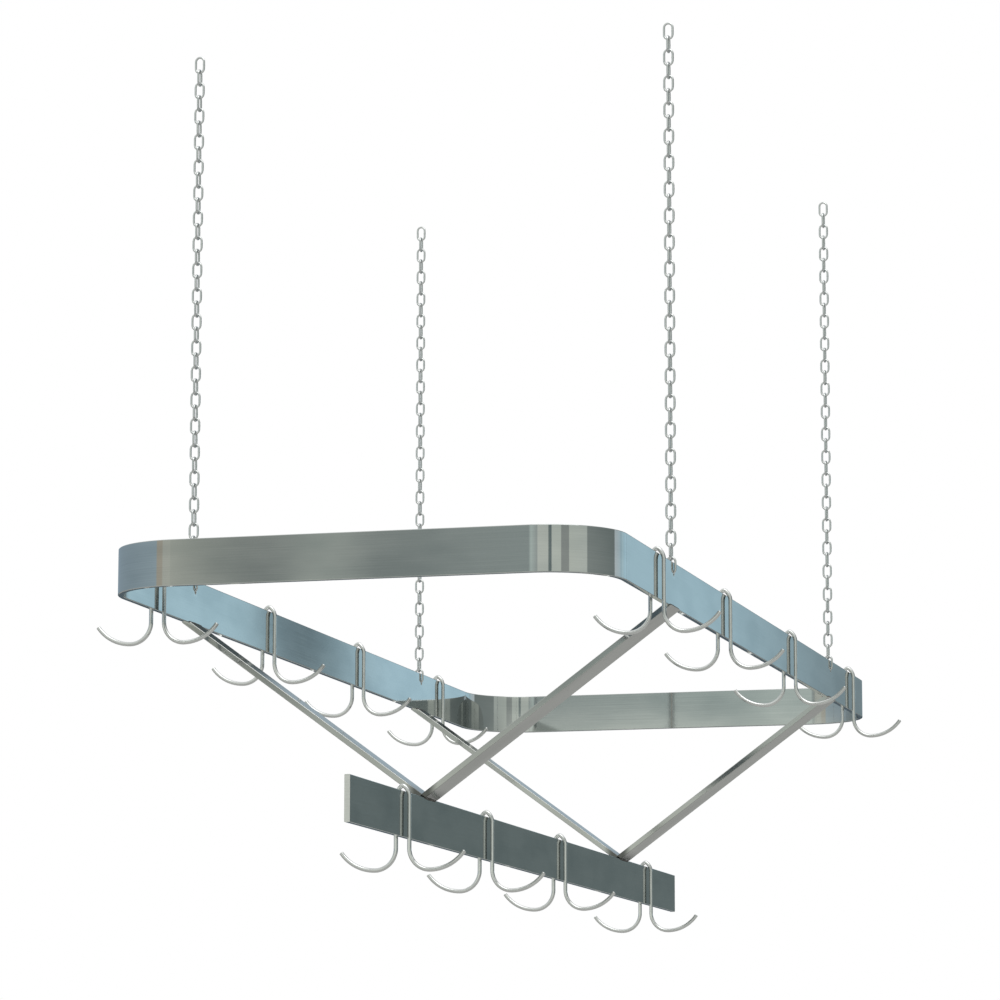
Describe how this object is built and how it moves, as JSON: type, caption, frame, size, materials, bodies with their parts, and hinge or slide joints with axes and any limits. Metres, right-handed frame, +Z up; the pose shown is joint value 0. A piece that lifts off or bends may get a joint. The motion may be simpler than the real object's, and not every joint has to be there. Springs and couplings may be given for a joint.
{
  "type": "hanging pot rack",
  "caption": "Ceiling pot rack: a rounded rectangular ring of flat bar on chains, with a lower centre bar on V braces and double wire hooks that slide along the bars.",
  "frame": {"origin": "level with the bearing points of the four top links, over the middle of the ring", "axes": "+Z up, +Y along the rack, +X across it; the rack reads the same from both ends"},
  "size_m": [0.7112, 1.524, 0.9702],
  "materials": {
    "bar_steel": "flat stainless bar with a lengthwise brushed grain",
    "brace_steel": "flat stainless bar, brushed along its length",
    "weld_steel": "weld metal, dressed and brushed",
    "hook_wire": "bright drawn stainless wire",
    "chain_steel": "bright welded steel chain links"
  },
  "bodies": {
    "ceiling_links": {"top_link_near_left": "chain_steel", "top_link_near_right": "chain_steel", "top_link_far_left": "chain_steel", "top_link_far_right": "chain_steel"},
    "second_link_body_near_left": {"second_link_near_left": "chain_steel"},
    "chain_body_near_left": {"chain_near_left": "chain_steel"},
    "bottom_link_body_near_left": {"bottom_link_near_left": "chain_steel"},
    "second_link_body_near_right": {"second_link_near_right": "chain_steel"},
    "chain_body_near_right": {"chain_near_right": "chain_steel"},
    "bottom_link_body_near_right": {"bottom_link_near_right": "chain_steel"},
    "second_link_body_far_left": {"second_link_far_left": "chain_steel"},
    "chain_body_far_left": {"chain_far_left": "chain_steel"},
    "bottom_link_body_far_left": {"bottom_link_far_left": "chain_steel"},
    "second_link_body_far_right": {"second_link_far_right": "chain_steel"},
    "chain_body_far_right": {"chain_far_right": "chain_steel"},
    "bottom_link_body_far_right": {"bottom_link_far_right": "chain_steel"},
    "rack": {"ring_band": "bar_steel", "ring_weld": "weld_steel", "centre_bar": "bar_steel", "brace_near_left": "brace_steel", "brace_near_right": "brace_steel", "brace_far_left": "brace_steel", "brace_far_right": "brace_steel", "brace_welds_near": "weld_steel", "brace_welds_far": "weld_steel"},
    "hook_left_1_body": {"hook_left_1": "hook_wire"},
    "hook_left_2_body": {"hook_left_2": "hook_wire"},
    "hook_left_3_body": {"hook_left_3": "hook_wire"},
    "hook_left_4_body": {"hook_left_4": "hook_wire"},
    "hook_right_1_body": {"hook_right_1": "hook_wire"},
    "hook_right_2_body": {"hook_right_2": "hook_wire"},
    "hook_right_3_body": {"hook_right_3": "hook_wire"},
    "hook_right_4_body": {"hook_right_4": "hook_wire"},
    "hook_centre_1_body": {"hook_centre_1": "hook_wire"},
    "hook_centre_2_body": {"hook_centre_2": "hook_wire"},
    "hook_centre_3_body": {"hook_centre_3": "hook_wire"},
    "hook_centre_4_body": {"hook_centre_4": "hook_wire"}
  },
  "joints": [
    {"name": "sway_along_near_left", "type": "hinge", "parent": "ceiling_links", "child": "second_link_body_near_left", "pos_m": [-0.28258, -0.4572, -0.01555], "axis": [1, 0, 0], "range_deg": [-10, 10]},
    {"name": "sway_across_near_left", "type": "hinge", "parent": "second_link_body_near_left", "child": "chain_body_near_left", "pos_m": [-0.28258, -0.4572, -0.03095], "axis": [0, 1, 0], "range_deg": [-10, 10]},
    {"name": "level_across_near_left", "type": "hinge", "parent": "chain_body_near_left", "child": "bottom_link_body_near_left", "pos_m": [-0.28258, -0.4572, -0.61615], "axis": [0, 1, 0], "range_deg": [-10, 10]},
    {"name": "sway_along_near_right", "type": "hinge", "parent": "ceiling_links", "child": "second_link_body_near_right", "pos_m": [0.28258, -0.4572, -0.01555], "axis": [1, 0, 0], "range_deg": [-10, 10]},
    {"name": "sway_across_near_right", "type": "hinge", "parent": "second_link_body_near_right", "child": "chain_body_near_right", "pos_m": [0.28258, -0.4572, -0.03095], "axis": [0, 1, 0], "range_deg": [-10, 10]},
    {"name": "level_across_near_right", "type": "hinge", "parent": "chain_body_near_right", "child": "bottom_link_body_near_right", "pos_m": [0.28258, -0.4572, -0.61615], "axis": [0, 1, 0], "range_deg": [-10, 10]},
    {"name": "sway_along_far_left", "type": "hinge", "parent": "ceiling_links", "child": "second_link_body_far_left", "pos_m": [-0.28258, 0.4572, -0.01555], "axis": [1, 0, 0], "range_deg": [-10, 10]},
    {"name": "sway_across_far_left", "type": "hinge", "parent": "second_link_body_far_left", "child": "chain_body_far_left", "pos_m": [-0.28258, 0.4572, -0.03095], "axis": [0, 1, 0], "range_deg": [-10, 10]},
    {"name": "level_across_far_left", "type": "hinge", "parent": "chain_body_far_left", "child": "bottom_link_body_far_left", "pos_m": [-0.28258, 0.4572, -0.61615], "axis": [0, 1, 0], "range_deg": [-10, 10]},
    {"name": "sway_along_far_right", "type": "hinge", "parent": "ceiling_links", "child": "second_link_body_far_right", "pos_m": [0.28258, 0.4572, -0.01555], "axis": [1, 0, 0], "range_deg": [-10, 10]},
    {"name": "sway_across_far_right", "type": "hinge", "parent": "second_link_body_far_right", "child": "chain_body_far_right", "pos_m": [0.28258, 0.4572, -0.03095], "axis": [0, 1, 0], "range_deg": [-10, 10]},
    {"name": "level_across_far_right", "type": "hinge", "parent": "chain_body_far_right", "child": "bottom_link_body_far_right", "pos_m": [0.28258, 0.4572, -0.61615], "axis": [0, 1, 0], "range_deg": [-10, 10]},
    {"name": "level_along", "type": "hinge", "parent": "bottom_link_body_near_left", "child": "rack", "pos_m": [-0.28258, -0.4572, -0.6328], "axis": [1, 0, 0], "range_deg": [-10, 10]},
    {"name": "hook_left_1_slide", "type": "slide", "parent": "rack", "child": "hook_left_1_body", "axis": [0, 1, 0], "range_m": [-0.0968, 0.088]},
    {"name": "hook_left_2_slide", "type": "slide", "parent": "rack", "child": "hook_left_2_body", "axis": [0, 1, 0], "range_m": [-0.2462, 0.179]},
    {"name": "hook_left_3_slide", "type": "slide", "parent": "rack", "child": "hook_left_3_body", "axis": [0, 1, 0], "range_m": [-0.176, 0.2492]},
    {"name": "hook_left_4_slide", "type": "slide", "parent": "rack", "child": "hook_left_4_body", "axis": [0, 1, 0], "range_m": [-0.062, 0.1228]},
    {"name": "hook_right_1_slide", "type": "slide", "parent": "rack", "child": "hook_right_1_body", "axis": [0, 1, 0], "range_m": [-0.1448, 0.04]},
    {"name": "hook_right_2_slide", "type": "slide", "parent": "rack", "child": "hook_right_2_body", "axis": [0, 1, 0], "range_m": [-0.2462, 0.179]},
    {"name": "hook_right_3_slide", "type": "slide", "parent": "rack", "child": "hook_right_3_body", "axis": [0, 1, 0], "range_m": [-0.197, 0.2282]},
    {"name": "hook_right_4_slide", "type": "slide", "parent": "rack", "child": "hook_right_4_body", "axis": [0, 1, 0], "range_m": [-0.109, 0.0758]},
    {"name": "hook_centre_1_slide", "type": "slide", "parent": "rack", "child": "hook_centre_1_body", "axis": [0, 1, 0], "range_m": [-0.1978, 0.067]},
    {"name": "hook_centre_2_slide", "type": "slide", "parent": "rack", "child": "hook_centre_2_body", "axis": [0, 1, 0], "range_m": [-0.2172, 0.208]},
    {"name": "hook_centre_3_slide", "type": "slide", "parent": "rack", "child": "hook_centre_3_body", "axis": [0, 1, 0], "range_m": [-0.126, 0.2992]},
    {"name": "hook_centre_4_slide", "type": "slide", "parent": "rack", "child": "hook_centre_4_body", "axis": [0, 1, 0], "range_m": [-0.108, 0.1568]}
  ],
  "couplings": [
    {"joint": "level_across_near_left", "follows": "sway_across_near_left", "ratio": -1},
    {"joint": "sway_along_near_right", "follows": "sway_along_near_left", "ratio": 1},
    {"joint": "sway_across_near_right", "follows": "sway_across_near_left", "ratio": 1},
    {"joint": "level_across_near_right", "follows": "sway_across_near_left", "ratio": -1},
    {"joint": "sway_along_far_left", "follows": "sway_along_near_left", "ratio": 1},
    {"joint": "sway_across_far_left", "follows": "sway_across_near_left", "ratio": 1},
    {"joint": "level_across_far_left", "follows": "sway_across_near_left", "ratio": -1},
    {"joint": "sway_along_far_right", "follows": "sway_along_near_left", "ratio": 1},
    {"joint": "sway_across_far_right", "follows": "sway_across_near_left", "ratio": 1},
    {"joint": "level_across_far_right", "follows": "sway_across_near_left", "ratio": -1},
    {"joint": "level_along", "follows": "sway_along_near_left", "ratio": -1}
  ]
}
